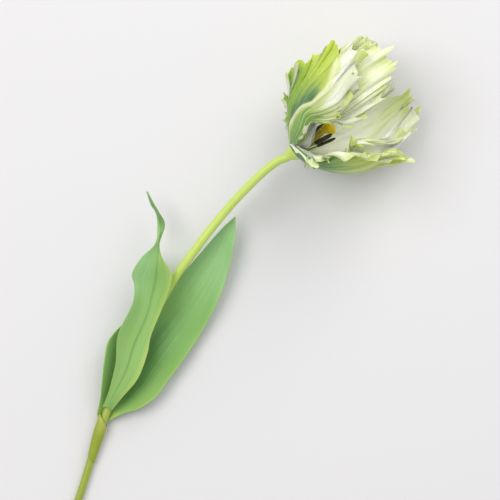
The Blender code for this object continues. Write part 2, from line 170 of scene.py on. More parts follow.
STEM_STEPS = 401
STEM_SPACING = 1.5  # between the stem's rings
STEM_SIDES = 40
STEM_FLARE = 7.0
FLARE_JOIN = 4.0  # how far below the flare the route gives way to a straight end
FLARE_POINTS = 15
SHEATH_START = 87.0
SHEATH_END = 119.0
SHEATH_SLANT = 4.2  # how much higher the mouth is on the left than on the stem's line
SHEATH_LOW_SLANT = 2.6
SHEATH_RADIUS = 3.15
SHEATH_FLARE = 0.95
SHEATH_STEP = 0.6  # how much further out the wrap's outer end lies than its inner one
SHEATH_WRAP = 1.18  # turns
SHEATH_SEAM = 2.0  # where the wrap starts, in radians
SHEATH_ROWS = 60
SHEATH_COLUMNS = 120
SHEATH_RIM = 0.35  # thickness at the rim
SHEATH_BODY = 0.45  # and how much more it is away from it
LEAF_RIBS = 26
LEAF_RIB_HEIGHT = 0.035
LEAF_WAVES = 4.5
LEAF_WAVE_HEIGHT = 0.7
LEAF_CREASE = 0.35
LEAF_FULL_WIDTH = 25  # where a leaf is narrower than this, its crease, ribs and waves are lower
STAMEN_COUNT = 6
STAMEN_RING = 3.0
STAMEN_TILT = 15.0  # degrees, and so is the turn
STAMEN_TURN = 30.0
STAMEN_RINGS = 60
STAMEN_SIDES = 20
STAMEN_HEIGHTS = (0.0, 8.0, 17.0, 18.5, 22.0, 29.0, 32.0, 32.8)
STAMEN_RADII = (0.7, 0.65, 0.55, 1.25, 1.45, 1.35, 0.9, 0.05)
PISTIL_SIDES = 96
PISTIL_HEIGHTS = (0.0, 6.0, 15.0, 23.0, 27.0, 29.0, 31.5, 33.8, 36.0, 36.9)
PISTIL_RADII = (1.9, 2.6, 3.2, 2.9, 2.4, 3.4, 5.2, 5.4, 4.0, 0.6)
POLLEN = (2600000.0, 0.00013)  # grains a square metre, and a grain's radius in metres
STIGMA_HAIRS = (3000000.0, 0.00016)
GRAIN_SEED = 11
FLOOR_SIZE = 6.0  # this and the other measures of the stage are in metres
FLOOR_DROP = 0.0001
KEY_SIZE = 2.2
KEY_PLACE = (-1.5, 0.75, 2.8)  # to the left, up and above, as the picture shows it
FILL_SIZE = 1.8
FILL_PLACE = (1.0, 1.6, 1.3)
LAMP_COLOUR = (1.0, 0.985, 0.965)
SKY_COLOUR = (0.97, 0.98, 1.0, 1.0)
SENSOR = 36.0  # millimetres

CELL_DEPTH = 0.02  # how deep the cells of the skin are
MASKS = ("Lime", "Green", "Deep", "Cream")  # each is laid on by the attribute of its name, in small letters
VALUE = "NodeSocketFloat"
WHOLE = "NodeSocketInt"
COLOUR = "NodeSocketColor"
VECTOR = "NodeSocketVector"
GEOMETRY = "NodeSocketGeometry"
MATERIAL = "NodeSocketMaterial"


def smooth(low, high, value):
    share = np.clip((value - low) / (high - low), 0.0, 1.0)
    return share * share * (3 - 2 * share)


def bump(value, centre, width):
    """A soft hill of height 1 at the centre."""
    return np.exp(-(((value - centre) / width) ** 2))


def route_points(points, shares):
    """Points on the smooth Catmull-Rom curve through the given points, at shares of their count."""
    knots = np.array(points, float)
    knots = np.vstack((2 * knots[0] - knots[1], knots, 2 * knots[-1] - knots[-2]))
    place = np.clip(shares, 0.0, 1.0) * (len(points) - 1)
    i = np.minimum(place.astype(int), len(points) - 2)
    f = (place - i)[..., None]
    p0, p1, p2, p3 = (knots[i + n] for n in range(4))
    return 0.5 * (
        2 * p1 + (p2 - p0) * f + (2 * p0 - 5 * p1 + 4 * p2 - p3) * f**2 + (3 * p1 - p0 - 3 * p2 + p3) * f**3
    )


def stem_line(spacing=1.0):
    """The stem's centre at even distances, with those distances."""
    fine = route_points(STEM_ROUTE, np.linspace(0, 1, STEM_STEPS))
    along = np.concatenate(([0.0], np.cumsum(np.linalg.norm(np.diff(fine, axis=0), axis=1))))
    wanted = np.linspace(0, along[-1], round(along[-1] / spacing) + 1)
    return np.column_stack([np.interp(wanted, along, fine[:, n]) for n in range(3)]), wanted


def bloom_axes():
    """The bloom's left, its upward side and its axis from the receptacle to the mouth."""
    heading, pitch = math.radians(BLOOM_HEADING), math.radians(BLOOM_PITCH)
    axis = Vector((math.sin(heading) * math.cos(pitch), math.cos(heading) * math.cos(pitch), math.sin(pitch)))
    left = Vector((-math.cos(heading), math.sin(heading), 0.0))
    return left, axis.cross(left), axis


def rolled(distance, start, end, degrees):
    """Bends what lies past start outwards, by these degrees at end: (distance kept, lift gained)."""
    beyond = np.maximum(distance - start, 0.0)
    radius = (end - start) / np.radians(np.maximum(degrees, 0.01))
    turned = beyond / np.maximum(radius, 1e-6)
    bent = beyond > 0
    kept = np.where(bent, start + radius * np.sin(turned), distance)
    return kept, np.where(bent, radius * (1 - np.cos(turned)), 0.0)


def cup(tepal):
    """The cup that a tepal lies on: distances up its wall, with the radius, height and slope there."""
    share = np.linspace(0, 1, CUP_STEPS)
    slopes = np.radians(tepal.start_slope + (tepal.end_slope - tepal.start_slope) * share)
    step = tepal.length / (CUP_STEPS - 1)
    radii = tepal.start_radius + np.concatenate(([0.0], np.cumsum(np.cos(slopes[:-1]) * step)))
    heights = tepal.start_height + np.concatenate(([0.0], np.cumsum(np.sin(slopes[:-1]) * step)))
    return share * tepal.length, radii, heights, slopes


def oval_reach(tepal, across):
    return tepal.length * (1 - tepal.oval * np.abs(across) ** OVAL_POWER)


def margin_line(tepal):
    """How far round the margin, in millimetres, each place across the tepal lies."""
    across = np.linspace(-1, 1, MARGIN_STEPS)
    reach = oval_reach(tepal, across)
    distances, radii = cup(tepal)[:2]
    sideways = math.radians(tepal.half_width) * np.interp(reach, distances, radii) * (across[1] - across[0])
    steps = np.hypot(np.diff(reach), sideways[1:])
    return across, np.concatenate(([0.0], np.cumsum(steps)))


def scallops(place):
    """Rounded tops with narrow gaps between them: 0 on a top, 1 in a gap."""
    return 1 - np.abs(np.cos(np.pi * place)) ** SCALLOP_POWER


def vein_reach(tepal, across, margin, fringe):
    """How far each vein runs, with the rounded lobes, the teeth and the finer fringe of the margin."""
    turn = (across + 1) / 2
    lobe = tepal.lobe_depth * scallops(tepal.lobes * turn + tepal.phase / (2 * np.pi))
    sway = np.sin(margin / TOOTH_SWAY + tepal.phase)
    tooth = tepal.tooth_depth * (0.75 + 0.35 * sway) * scallops(margin / TOOTH_SPACING + 0.35 * sway)
    swell = 0.55 + 0.45 * np.sin(margin / FRINGE_SWAY + 2 * tepal.phase)
    fine = fringe * swell * scallops(margin / FRINGE_SPACING + 0.5 * sway)
    side, trim = SIDE_TRIM.get(tepal.name, (1, 0.0))
    oval = oval_reach(tepal, across) * (1 - trim * smooth(0.0, TRIM_END, side * across))
    return oval - tepal.length * (lobe + tooth + fine)


def ridge_path(along):
    """Where across the upper outer tepal its raised rib runs."""
    return np.interp(along, RIDGE_ALONG, RIDGE_ACROSS)


def tepal_lift(tepal, up, across, along, margin, sizes):
    """How far a tepal's relief and frills lift it off its cup, and how far the frills shove it sideways."""
    outer = tepal.name.startswith("outer")
    edge = up**3 * (0.2 + 0.8 * smooth(0.15, 0.5, along))
    lift = tepal.flute_depth * np.cos(np.pi * tepal.flutes * across + tepal.phase) * smooth(0.15, 0.7, up)
    ruffle = np.sin(2 * np.pi * tepal.ruffles * (across + 1) / 2 + tepal.phase)
    lift = lift + tepal.ruffle_depth * (0.8 + ruffle) * edge * (0.45 + 0.55 * np.abs(across))
    vein = margin * 2 * np.pi / PLEAT_SPACING + tepal.phase
    pleat = sizes.pleat_depth / MM * (1.0 if outer else INNER_PLEATS)
    lift = lift + pleat * (np.sin(vein) + 0.4 * np.sin(2.3 * vein)) * smooth(0.05, 0.5, up)
    wave = margin * 2 * np.pi / FRILL_SPACING + 1.1 * np.sin(margin / FRILL_DRIFT) + 2 * tepal.phase
    frill = sizes.ripple_height / MM * (UNDER_FRILL if tepal.name == "outer_tepal_under" else 1.0)
    frill = frill * (0.75 + 0.35 * np.sin(margin / FRILL_SWAY + tepal.phase))
    lift = lift + frill * (np.sin(wave) * edge + 0.5 * np.sin(2.7 * wave) * up**6)
    if tepal.name == "outer_tepal_upper":
        rib = bump(across, ridge_path(along), RIB_WIDTH) * smooth(0.02, 0.25, along)
        valley = bump(across, ridge_path(along) + VALLEY_OFFSET, VALLEY_WIDTH) * smooth(0.05, 0.3, along)
        lift = lift + RIB_HEIGHT * rib - VALLEY_DEPTH * valley
    if outer:
        lift = lift + OUTER_CLEARANCE * smooth(0.3, 0.7, up)
        lift = lift + SIDE_CLEARANCE * edge * smooth(0.5, 0.9, np.abs(across))
    return lift, 0.6 * frill * np.sin(2 * wave + 0.6) * edge


def tepal_points(tepal, up, across, sizes):
    """The tepal's middle surface in layout coordinates, with how far along its length each point is."""
    margin = np.interp(across, *margin_line(tepal))
    reach = vein_reach(tepal, across, margin, sizes.fringe_depth)
    distances, *walls = cup(tepal)
    along = reach * up / tepal.length
    distance, out = rolled(reach * up, reach * TIP_ROLL_START, reach, tepal.tip_roll)
    radius, height, slope = (np.interp(distance, distances, wall) for wall in walls)
    share = distance / tepal.length
    side_roll = np.where(across > 0, tepal.left_roll, tepal.right_roll) * smooth(0.03, 0.4, share)
    spread = tepal.claw + (1 - tepal.claw) * smooth(0.0, CLAW_END, share)
    width = math.radians(tepal.half_width) * spread * radius
    sideways = np.sin(np.pi / 2 * np.abs(across)) * width
    if tepal.name in FLAPS:
        side, centre, reach_along, count, depth, roll = FLAPS[tepal.name]
        near = bump(along, centre, reach_along)
        wave = 0.6 + 0.4 * np.cos(2 * np.pi * count * along + tepal.phase)
        flap = depth * (near * smooth(0.7, 1.0, side * across)) * wave
        sideways = sideways + flap
        width = width + flap
        side_roll = np.maximum(side_roll, roll * near * (across * side > 0))
    sideways, side_lift = rolled(sideways, ROLL_START * width, width, side_roll)
    lift, shove = tepal_lift(tepal, up, across, along, margin, sizes)
    out = out + side_lift + lift
    angle = math.radians(tepal.facing) + (np.copysign(sideways, across) + shove) / radius
    for side, centre, reach_along, degrees in MARGIN_SHIFTS.get(tepal.name, ()):
        near = bump(along, centre, reach_along)
        angle = angle + math.radians(degrees) * near * smooth(-0.2, 0.7, side * across)
    left, upward, axis = (np.array(v) for v in bloom_axes())
    outward = np.cos(angle)[..., None] * upward + np.sin(angle)[..., None] * left
    place = (
        np.array(BLOOM_BASE)
        + outward * (radius + out * np.sin(slope))[..., None]
        + axis * (height - out * np.cos(slope))[..., None]
    )
    return place, along


def add_object(name, data):
    piece = bpy.data.objects.new(name, data)
    bpy.context.scene.collection.objects.link(piece)
    return piece


def mark(mesh, key, values):
    """Stores a value for each point of a mesh."""
    mesh.attributes.new(key, "FLOAT", "POINT").data.foreach_set("value", values.astype(np.float32))


def mesh_piece(name, points, faces, uv, masks):
    """A smooth mesh from points in millimetres, with its UV map and its mask attributes given by point."""
    mesh = bpy.data.meshes.new(name)
    mesh.from_pydata((points * MM).tolist(), [], faces)
    corner = np.empty(len(mesh.loops), np.int32)
    mesh.loops.foreach_get("vertex_index", corner)
    mesh.uv_layers.new(name="UVMap").data.foreach_set("uv", uv[corner].astype(np.float32).ravel())
    for key, values in masks.items():
        mark(mesh, key, values)
    mesh.validate()
    mesh.shade_smooth()
    return add_object(name, mesh)


def grid_faces(index):
    """The faces between the points of a grid, which index numbers."""
    return np.stack((index[:-1, :-1], index[:-1, 1:], index[1:, 1:], index[1:, :-1]), axis=-1).reshape(-1, 4)


def sheet_piece(name, middle, thickness, floor, uv, masks):
    """A closed sheet round its middle surface, laid flat where it would pass below its floor.

    masks maps an attribute's name to its values on the face that the normals leave and on the other face.
    """
    rows, columns = middle.shape[:2]
    middle[..., 2] = np.maximum(middle[..., 2], floor + thickness / 2)
    normal = np.cross(np.gradient(middle, axis=1), np.gradient(middle, axis=0))
    normal = normal / np.maximum(np.linalg.norm(normal, axis=2, keepdims=True), 1e-9)
    half = thickness[..., None] / 2
    points = [side.reshape(-1, 3) - ORIGIN for side in (middle + normal * half, middle - normal * half)]
    shift = rows * columns
    index = np.arange(shift).reshape(rows, columns)
    top = grid_faces(index)
    under = top[:, (0, 3, 2, 1)] + shift
    edge = np.concatenate((index[0, :], index[1:, -1], index[-1, -2::-1], index[-2:0:-1, 0]))
    ahead = np.roll(edge, -1)
    rim = np.column_stack((ahead, edge, edge + shift, ahead + shift))
    faces = np.concatenate((top, under, rim)).tolist()
    both = np.concatenate([np.stack(uv, axis=-1).reshape(-1, 2)] * 2)
    joined = {
        key: np.concatenate([np.broadcast_to(face, (rows, columns)).ravel() for face in values])
        for key, values in masks.items()
    }
    return mesh_piece(name, np.concatenate(points), faces, both, joined)


def finish_piece(piece, material, slot, *nodes):
    """Gives a piece its material and ties it to the frame."""
    if material is not None:
        piece.data.materials.clear()
        piece.data.materials.append(material)
    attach(piece, "root")
    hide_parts(*nodes)


def put(tree, kind, inputs=None, **settings):
    """Adds a node with its settings. An input is a value or the socket that feeds it."""
    node = tree.nodes.new(kind)
    for key, value in settings.items():
        setattr(node, key, value)
    for key, value in (inputs or {}).items():
        socket = node.inputs[key]
        if isinstance(value, bpy.types.NodeSocket):
            tree.links.new(value, socket)
        else:
            socket.default_value = value
    return node


def new_group(name, kind, inputs, outputs):
    """An empty node group: the tree, what it is given and what it gives.

    inputs and outputs map a type of socket to the names of the sockets of that type.
    """
    tree = bpy.data.node_groups.new(name, kind)
    for side, sockets in (("INPUT", inputs), ("OUTPUT", outputs)):
        for socket_type, keys in sockets.items():
            for key in keys:
                tree.interface.new_socket(name=key, in_out=side, socket_type=socket_type)
    return tree, put(tree, "NodeGroupInput").outputs, put(tree, "NodeGroupOutput").inputs


def shared_group(tree, name, maker, inputs):
    """Places a shared node group, which is made the first time that it is asked for."""
    shared = bpy.data.node_groups.get(name) or maker()
    return put(tree, "ShaderNodeGroup", inputs, node_tree=shared).outputs


def maths(tree, operation, a, b, clamp=False):
    return put(tree, "ShaderNodeMath", {0: a, 1: b}, operation=operation, use_clamp=clamp).outputs[0]


def times(tree, a, b):
    return maths(tree, "MULTIPLY", a, b)


def plus(tree, a, b, clamp=False):
    return maths(tree, "ADD", a, b, clamp)


def minus(tree, a, b):
    return maths(tree, "SUBTRACT", a, b)


def ramp(tree, inputs, **settings):
    return put(tree, "ShaderNodeMapRange", inputs, **settings).outputs[0]


def vector(tree, x, y, z):
    return put(tree, "ShaderNodeCombineXYZ", {0: x, 1: y, 2: z}).outputs[0]


def noise(tree, place, scale, detail, roughness):
    inputs = {"Vector": place, "Scale": scale, "Detail": detail, "Roughness": roughness}
    return put(tree, "ShaderNodeTexNoise", inputs).outputs[0]


def mix_colour(tree, share, a, b):
    return put(tree, "ShaderNodeMix", {0: share, 6: a, 7: b}, data_type="RGBA").outputs[2]


def vein_group():
    """Streaks that run along a leaf or tepal: a soft mask and a height for the bump."""
    inputs = {VALUE: ("Across", "Along", "Count", "Stretch", "Seed")}
    tree, given, gives = new_group("Veins", "ShaderNodeTree", inputs, {VALUE: ("Streak", "Height")})
    across = times(tree, given["Across"], given["Count"])
    along = times(tree, given["Along"], given["Stretch"])
    place = vector(tree, across, along, given["Seed"])
    broad = noise(tree, place, 0.35, 3.0, 0.55)
    fine = noise(tree, place, 1.6, 2.0, 0.5)
    mixed = plus(tree, times(tree, broad, 0.65), times(tree, fine, 0.35))
    tree.links.new(ramp(tree, {"Value": mixed, "From Min": 0.36, "From Max": 0.64}), gives["Streak"])
    tree.links.new(fine, gives["Height"])
    return tree


def skin_group():
    """The fine mottling and cell texture of plant skin, the same on every piece."""
    inputs = {VALUE: ("Mottle Scale", "Cell Scale")}
    tree, given, gives = new_group("Skin", "ShaderNodeTree", inputs, {VALUE: ("Mottle", "Height")})
    place = put(tree, "ShaderNodeTexCoord").outputs["Object"]
    cells = put(tree, "ShaderNodeTexVoronoi", {"Vector": place, "Scale": given["Cell Scale"]})
    tree.links.new(noise(tree, place, given["Mottle Scale"], 4.0, 0.5), gives["Mottle"])
    tree.links.new(cells.outputs[0], gives["Height"])
    return tree


def petal_group():
    """Lays a colour for each mask over a pale ground, with edges broken up by the streaks."""
    inputs = {
        COLOUR: ("Ground", *(f"{mask} Colour" for mask in MASKS)),
        VALUE: (*MASKS, "Streak", "Mottle", "Break Up"),
    }
    tree, given, gives = new_group("Petal colours", "ShaderNodeTree", inputs, {COLOUR: ("Colour",)})
    uneven = plus(tree, times(tree, given["Streak"], 0.7), times(tree, given["Mottle"], 0.3))
    uneven = times(tree, minus(tree, uneven, 0.5), given["Break Up"])
    colour = given["Ground"]
    for name in MASKS:
        mask = given[name]
        edge = times(tree, times(tree, mask, minus(tree, 1.06, mask)), 4.0)
        share = plus(tree, mask, times(tree, uneven, edge), clamp=True)
        colour = mix_colour(tree, share, colour, given[f"{name} Colour"])
    tree.links.new(colour, gives["Colour"])
    return tree


def new_material(name, roughness, subsurface=0.0, sheen=0.0):
    """A material with one Principled shader, whose uniform values are set on its own sockets."""
    material = bpy.data.materials.new(name)
    material.use_nodes = True
    shader = material.node_tree.nodes["Principled BSDF"].inputs
    for key, value in (
        ("Roughness", roughness), ("Subsurface Weight", subsurface), ("Subsurface Radius", (1.0, 1.0, 0.75)),
        ("Subsurface Scale", 0.0012), ("Sheen Weight", sheen), ("Sheen Roughness", 0.5),
    ):
        shader[key].default_value = value
    return material, material.node_tree, shader


def skin_marks(tree, mottle_scale, cell_scale):
    return shared_group(tree, "Skin", skin_group, {"Mottle Scale": mottle_scale, "Cell Scale": cell_scale})


def surface_marks(tree, count, stretch, seed):
    """The veins and skin that every plant material starts from."""
    uv = put(tree, "ShaderNodeSeparateXYZ", {0: put(tree, "ShaderNodeUVMap", uv_map="UVMap").outputs[0]})
    veins = shared_group(tree, "Veins", vein_group, {
        "Across": uv.outputs[0], "Along": uv.outputs[1], "Count": count, "Stretch": stretch, "Seed": seed,
    })
    return veins, skin_marks(tree, 90.0, 1800.0)


def finish_shader(tree, shader, colour, gloss, roughness, veins, skin, vein_depth):
    """Feeds the shader its colour, a roughness between two values, and a relief of veins and cells."""
    tree.links.new(colour, shader["Base Color"])
    rough = ramp(tree, {"Value": gloss, "To Min": roughness[0], "To Max": roughness[1]})
    tree.links.new(rough, shader["Roughness"])
    height = plus(tree, times(tree, veins["Height"], vein_depth), times(tree, skin["Height"], CELL_DEPTH))
    normal = put(tree, "ShaderNodeBump", {"Height": height, "Strength": 1.0, "Distance": MM}).outputs[0]
    tree.links.new(normal, shader["Normal"])


def attribute(tree, name):
    return put(tree, "ShaderNodeAttribute", attribute_name=name).outputs["Fac"]


def masked_colour(tree, palette, veins, skin, break_up):
    """The palette's ground, with the palette's other colours laid where the mask attributes say."""
    inputs = {"Ground": palette[0]}
    for mask, colour in zip(MASKS, palette[1:]):
        inputs[f"{mask} Colour"] = colour
        inputs[mask] = attribute(tree, mask.lower())
    inputs |= {"Streak": veins["Streak"], "Mottle": skin["Mottle"], "Break Up": break_up}
    return shared_group(tree, "Petal colours", petal_group, inputs)["Colour"]


def petal_material(name, palette, seed):
    """Thin, streaked and lit through."""
    material, tree, shader = new_material(name, 0.45, subsurface=0.8, sheen=0.05)
    veins, skin = surface_marks(tree, 70.0, 3.0, seed)
    colour = masked_colour(tree, palette, veins, skin, 0.9)
    finish_shader(tree, shader, colour, veins["Streak"], (0.36, 0.52), veins, skin, 0.35)
    return material


def leaf_material(name, palette, seed):
    """Parallel-veined green, darker along the middle with painted shade of the fold, paler at the edges, with
    a bluish bloom that is partly a painted sheen.
    """
    material, tree, shader = new_material(name, 0.42, subsurface=0.12, sheen=0.1)
    veins, skin = surface_marks(tree, 110.0, 2.0, seed)
    colour = masked_colour(tree, palette, veins, skin, 0.7)
    colour = mix_colour(tree, times(tree, veins["Streak"], 0.12), colour, palette[1])
    finish_shader(tree, shader, colour, skin["Mottle"], (0.34, 0.52), veins, skin, 0.14)
    return material


def shaded_material(name, low_colour, high_colour, roughness, depth, subsurface):
    """Two colours by the tone attribute, with mottling: for stem, sheath, stamens and pistil."""
    material, tree, shader = new_material(name, roughness, subsurface=subsurface)
    veins, skin = surface_marks(tree, 40.0, 4.0, 2.0)
    mottle = times(tree, minus(tree, skin["Mottle"], 0.5), 0.5)
    tone = plus(tree, attribute(tree, "tone"), mottle, clamp=True)
    colour = mix_colour(tree, tone, low_colour, high_colour)
    colour = mix_colour(tree, times(tree, veins["Streak"], 0.18), colour, high_colour)
    gloss = (roughness - 0.08, roughness + 0.1)
    finish_shader(tree, shader, colour, skin["Mottle"], gloss, veins, skin, depth)
    return material


def grain_material(name, colour):
    """Small grains: one mottled colour."""
    material, tree, shader = new_material(name, 0.7)
    light = [min(1.0, c * 1.8) for c in colour[:3]] + [1.0]
    mottled = mix_colour(tree, skin_marks(tree, 900.0, 4000.0)["Mottle"], colour, light)
    tree.links.new(mottled, shader["Base Color"])
    return material


def modifier_mesh(source, tree, name, values):
    """Runs a Geometry Nodes tree on an object and returns the result as a plain mesh."""
    modifier = source.modifiers.new("Nodes", "NODES")
    modifier.node_group = tree
    for item in tree.interface.items_tree:
        if item.item_type == "SOCKET" and item.in_out == "INPUT" and item.name in values:
            modifier[item.identifier] = values[item.name]
    evaluated = source.evaluated_get(bpy.context.evaluated_depsgraph_get())
    mesh = bpy.data.meshes.new_from_object(evaluated)
    mesh.name = name
    source.modifiers.remove(modifier)
    return mesh


def geometry_group(name, inputs):
    """A Geometry Nodes tree that changes a geometry and gives it a material."""
    sockets = {GEOMETRY: ("Geometry",), **inputs, MATERIAL: ("Material",)}
    return new_group(name, "GeometryNodeTree", sockets, {GEOMETRY: ("Geometry",)})


def give(tree, given, gives, geometry):
    """Ends a Geometry Nodes tree: the geometry in the material that it was given."""
    done = put(tree, "GeometryNodeSetMaterial", {"Geometry": geometry, "Material": given["Material"]})
    tree.links.new(done.outputs[0], gives["Geometry"])
    return tree


def route_tree():
    """A round stem along its curve: thickening upwards, flaring under the bloom, with closed ends."""
    tree, given, gives = geometry_group("Stem along a route", {
        VALUE: ("Low Radius", "High Radius", "Head Radius", "Flare Length", "Spacing"), WHOLE: ("Sides",),
    })
    route = put(tree, "GeometryNodeResampleCurve", {
        "Curve": given["Geometry"], "Length": given["Spacing"],
    }, mode="LENGTH")
    place = put(tree, "GeometryNodeSplineParameter").outputs
    total = put(tree, "GeometryNodeSplineLength").outputs["Length"]
    grow = ramp(tree, {
        "Value": place["Factor"], "From Max": 0.6,
        "To Min": given["Low Radius"], "To Max": given["High Radius"],
    }, interpolation_type="SMOOTHSTEP")
    flare = ramp(tree, {
        "Value": place["Length"], "From Min": minus(tree, total, given["Flare Length"]), "From Max": total,
    }, interpolation_type="SMOOTHSTEP")
    flare = maths(tree, "POWER", flare, 1.5)
    radius = plus(tree, grow, times(tree, flare, minus(tree, given["Head Radius"], grow)))
    marked = put(tree, "GeometryNodeStoreNamedAttribute", {
        "Geometry": route.outputs[0], "Name": "along", "Value": place["Factor"],
    }, data_type="FLOAT", domain="POINT")
    profile = put(tree, "GeometryNodeCurvePrimitiveCircle", {
        "Resolution": given["Sides"], "Radius": 1.0,
    }, mode="RADIUS")
    skin = put(tree, "GeometryNodeCurveToMesh", {
        "Curve": marked.outputs[0], "Profile Curve": profile.outputs[0], "Scale": radius, "Fill Caps": True,
    })
    closed = put(tree, "GeometryNodeMergeByDistance", {"Geometry": skin.outputs[0], "Distance": 0.00001})
    smoothed = put(tree, "GeometryNodeSetShadeSmooth", {"Geometry": closed.outputs[0]})
    return give(tree, given, gives, smoothed.outputs[0])


def ring_tree():
    """Stands copies of a piece in a ring, leaning outwards, and carries the ring to the bloom's base."""
    tree, given, gives = geometry_group("Ring of stamens", {
        WHOLE: ("Count",), VALUE: ("Ring Radius", "Lean", "Turn"), VECTOR: ("Place", "Direction"),
    })
    ring = put(tree, "GeometryNodeMeshCircle", {"Vertices": given["Count"], "Radius": given["Ring Radius"]})
    index = put(tree, "GeometryNodeInputIndex").outputs[0]
    angle = maths(tree, "DIVIDE", times(tree, index, 2 * math.pi), given["Count"])
    wobble = put(tree, "FunctionNodeRandomValue", {"Min": -0.06, "Max": 0.05, "Seed": 4}, data_type="FLOAT")
    lean = plus(tree, given["Lean"], wobble.outputs[1])
    copies = put(tree, "GeometryNodeInstanceOnPoints", {
        "Points": ring.outputs[0], "Instance": given["Geometry"], "Rotation": vector(tree, 0.0, lean, angle),
    })
    real = put(tree, "GeometryNodeRealizeInstances", {"Geometry": copies.outputs[0]})
    spun = put(tree, "GeometryNodeTransform", {
        "Geometry": real.outputs[0], "Rotation": vector(tree, 0.0, 0.0, given["Turn"]),
    })
    carried = put(tree, "GeometryNodeTransform", {
        "Geometry": spun.outputs[0], "Translation": given["Place"], "Rotation": given["Direction"],
    })
    return give(tree, given, gives, carried.outputs[0])


def grain_tree():
    """Scatters small grains over the part of a surface that its grain attribute marks."""
    inputs = {VALUE: ("Density", "Grain Radius"), WHOLE: ("Seed",)}
    tree, given, gives = geometry_group("Grains on a surface", inputs)
    marked = put(tree, "GeometryNodeInputNamedAttribute", {"Name": "grain"}, data_type="FLOAT")
    spots = put(tree, "GeometryNodeDistributePointsOnFaces", {
        "Mesh": given["Geometry"], "Density": times(tree, marked.outputs["Attribute"], given["Density"]),
        "Seed": given["Seed"],
    }, distribute_method="RANDOM")
    size = put(tree, "FunctionNodeRandomValue", {"Min": 0.6, "Max": 1.3, "Seed": 5}, data_type="FLOAT")
    grain = put(tree, "GeometryNodeMeshIcoSphere", {"Radius": given["Grain Radius"], "Subdivisions": 1})
    copies = put(tree, "GeometryNodeInstanceOnPoints", {
        "Points": spots.outputs[0], "Instance": grain.outputs[0], "Scale": size.outputs[1],
    })
    real = put(tree, "GeometryNodeRealizeInstances", {"Geometry": copies.outputs[0]})
    return give(tree, given, gives, real.outputs[0])


def add_grains(piece, name, amount, colour):
    """Scatters grains on a piece, as a piece of their own. amount is their density and their radius."""
    tree = bpy.data.node_groups.get("Grains on a surface") or grain_tree()
    return add_object(name, modifier_mesh(piece, tree, name, {
        "Density": amount[0], "Grain Radius": amount[1], "Seed": GRAIN_SEED,
        "Material": grain_material(name.replace("_", " "), colour),
    }))


def bloom_matrix():
    left, up, axis = bloom_axes()
    basis = Matrix((up, -left, axis)).transposed().to_4x4()
    seat = Vector(BLOOM_BASE) - Vector(ORIGIN) + axis * FIT_GAP
    return Matrix.Translation(seat * MM) @ basis


def turned_piece(name, profile, sides, reach, masks):
    """A closed piece lofted through rings. reach(angles, radius, height) gives each ring's outline."""
    rings = len(profile)
    angles = np.linspace(0, 2 * np.pi, sides, endpoint=False)
    points = []
    for radius, height in profile:
        outline, rise = reach(angles, radius, height)
        points.append(np.column_stack((outline * np.cos(angles), outline * np.sin(angles), height + rise)))
    index = np.arange(rings * sides).reshape(rings, sides)
    faces = grid_faces(np.column_stack((index, index[:, 0]))).tolist()
    caps = [index[0][::-1].tolist(), index[-1].tolist()]
    across = np.tile(np.abs(np.linspace(-1, 1, sides, endpoint=False)), rings)
    along = np.repeat(np.linspace(0, 1, rings), sides)
    heights = np.repeat([height for _, height in profile], sides)
    uv = np.column_stack((across, along))
    return mesh_piece(name, np.concatenate(points), faces + caps, uv, masks(heights))


def number(name, description, default, kind=bpy.props.FloatProperty, **settings):
    return kind(name=name, description=description, default=default, **settings)


def length(name, description, default):
    return number(name, description, default, unit="LENGTH")


def count(name, description, default):
    return number(name, description, default, bpy.props.IntProperty)


def colour(name, description, red, green, blue):
    return number(name, description, (red, green, blue, 1.0), bpy.props.FloatVectorProperty,
                  size=4, min=0.0, max=1.0, subtype="COLOR")


class TulipSizes(bpy.types.PropertyGroup):
    """Sizes of the fine surface."""

    tepal_thickness: length("Tepal thickness", "Thickness of a tepal away from its rim", 0.0006)
    leaf_thickness: length("Leaf thickness", "Thickness of a leaf away from its rim", 0.0009)
    fringe_depth: number("Fringe depth", "Depth of the fine fringe, as a share of a tepal's length", 0.024,
                         subtype="FACTOR")
    ripple_height: length("Ripple height", "Height of the ripples of a tepal's margin", 0.0046)
    pleat_depth: length("Pleat depth", "Height of the pleats that run up a tepal", 0.0005)
    tepal_rows: count("Tepal rows", "Rows of faces up a tepal", 76)
    tepal_columns: count("Tepal columns", "Columns of faces across a tepal", 300)
    leaf_rows: count("Leaf rows", "Rows of faces along a leaf", 260)
    leaf_columns: count("Leaf columns", "Columns of faces across a leaf", 60)
    stem_radius_low: length("Stem radius, low", "Radius at the cut end", 0.0028)
    stem_radius_high: length("Stem radius, high", "Radius below the bloom", 0.0033)
    receptacle_radius: length("Receptacle radius", "Radius of the head that carries the bloom", 0.0066)


